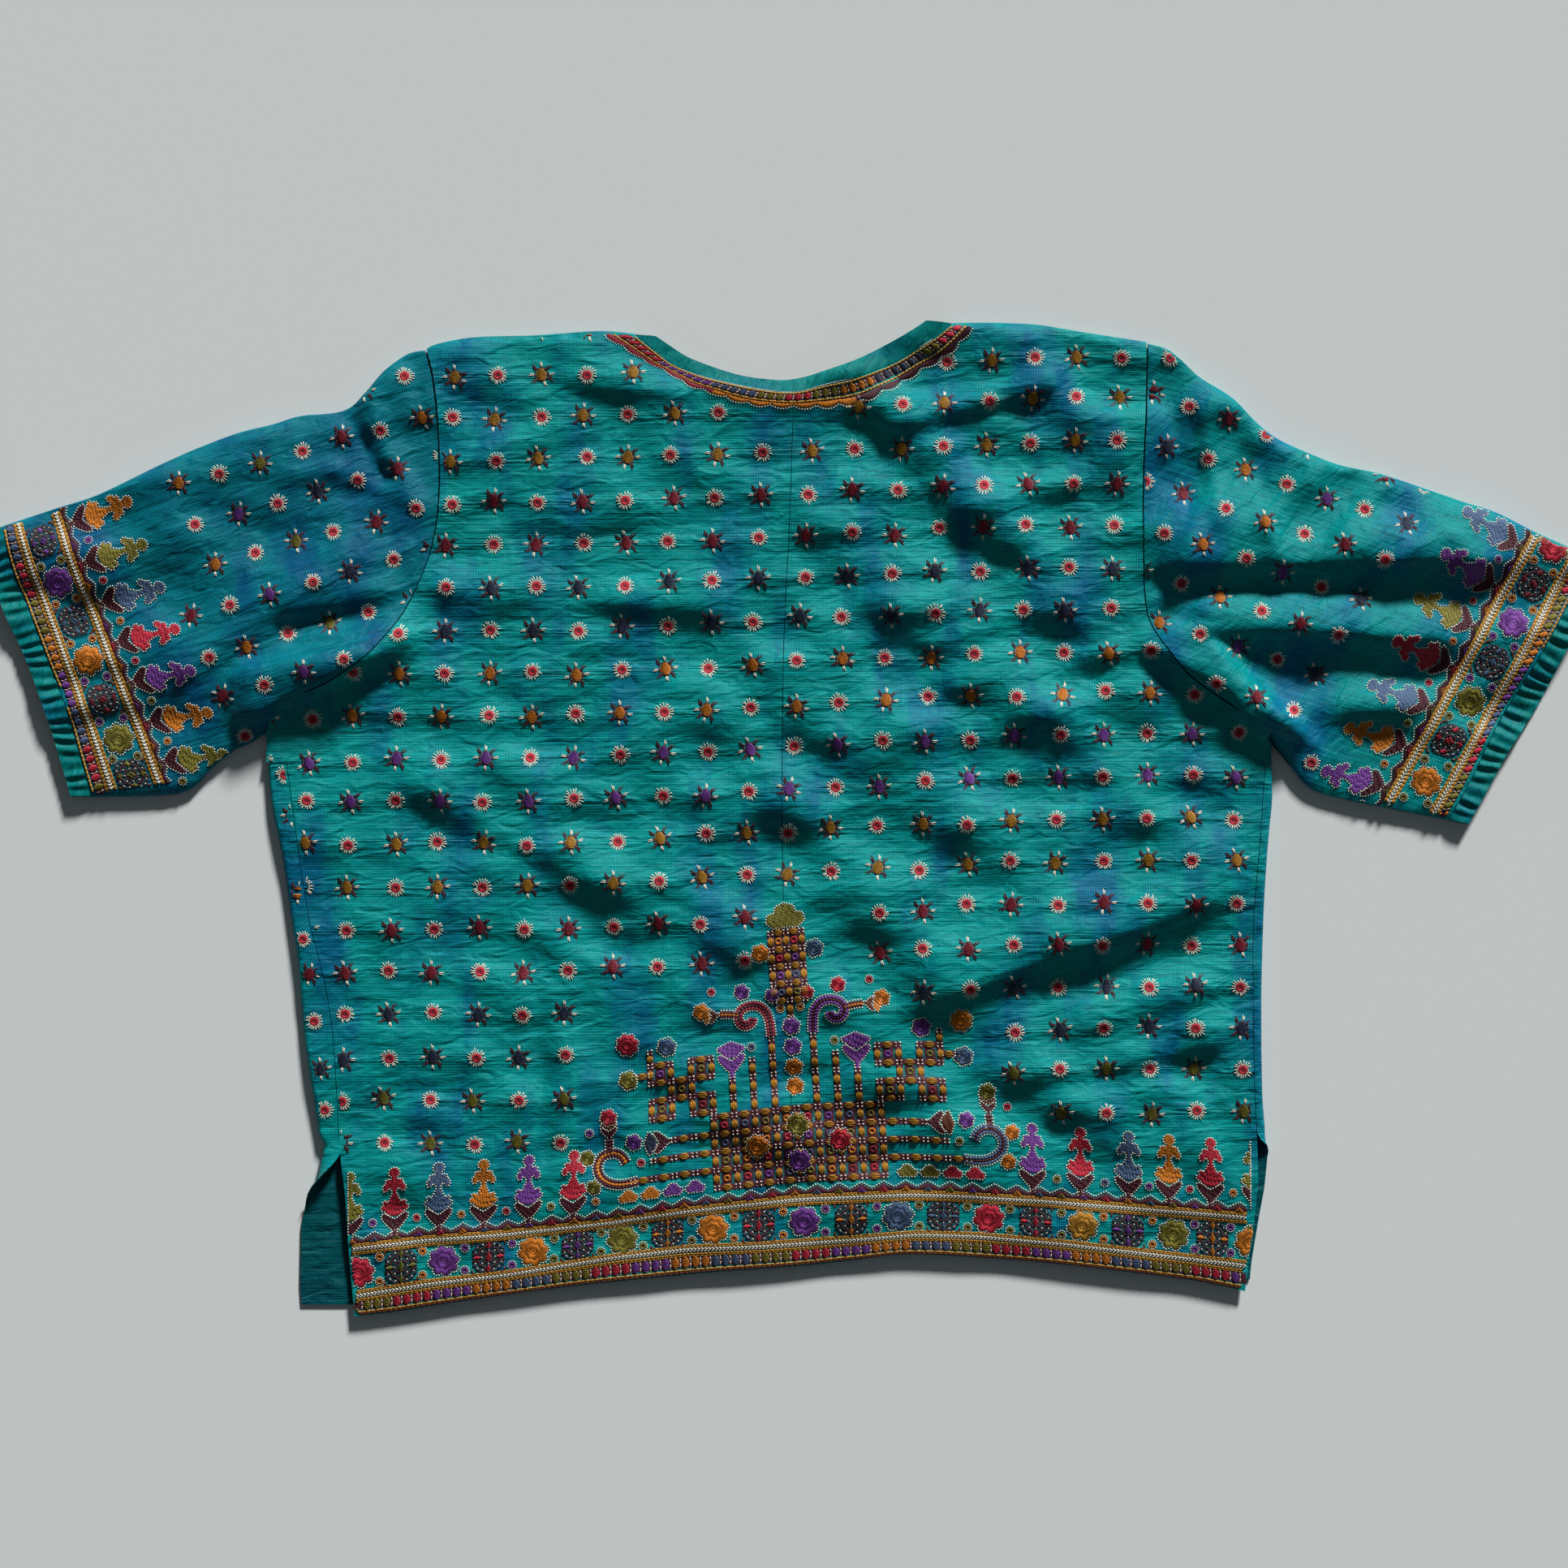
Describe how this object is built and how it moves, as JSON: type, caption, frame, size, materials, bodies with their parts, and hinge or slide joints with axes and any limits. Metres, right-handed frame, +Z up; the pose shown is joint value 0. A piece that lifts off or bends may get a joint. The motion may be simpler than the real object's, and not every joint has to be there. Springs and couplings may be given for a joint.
{
  "type": "choli blouse laid flat",
  "caption": "Short-sleeved cropped silk blouse laid flat on its front, with a shallow round back neck, set-in sleeves, side slits, soft creases and stitched borders.",
  "frame": {"origin": "on the table, under the middle of the garment's length and width", "axes": "+X across the shoulders to the right of the picture, +Y from the hem to the neck, +Z up from the table, out of the back of the blouse"},
  "size_m": [0.883, 0.5388, 0.0227],
  "materials": {
    "silk": "shot teal silk with a slubbed weave and a soft sheen",
    "binding": "the same teal silk, turned and hand stitched"
  },
  "bodies": {
    "root": {"front": "silk", "back_left": "silk", "back_right": "silk", "sleeve_left": "silk", "sleeve_right": "silk", "cuff_band_left": "binding", "cuff_band_right": "binding", "neck_band_back": "binding", "neck_band_front": "binding"}
  },
  "joints": []
}
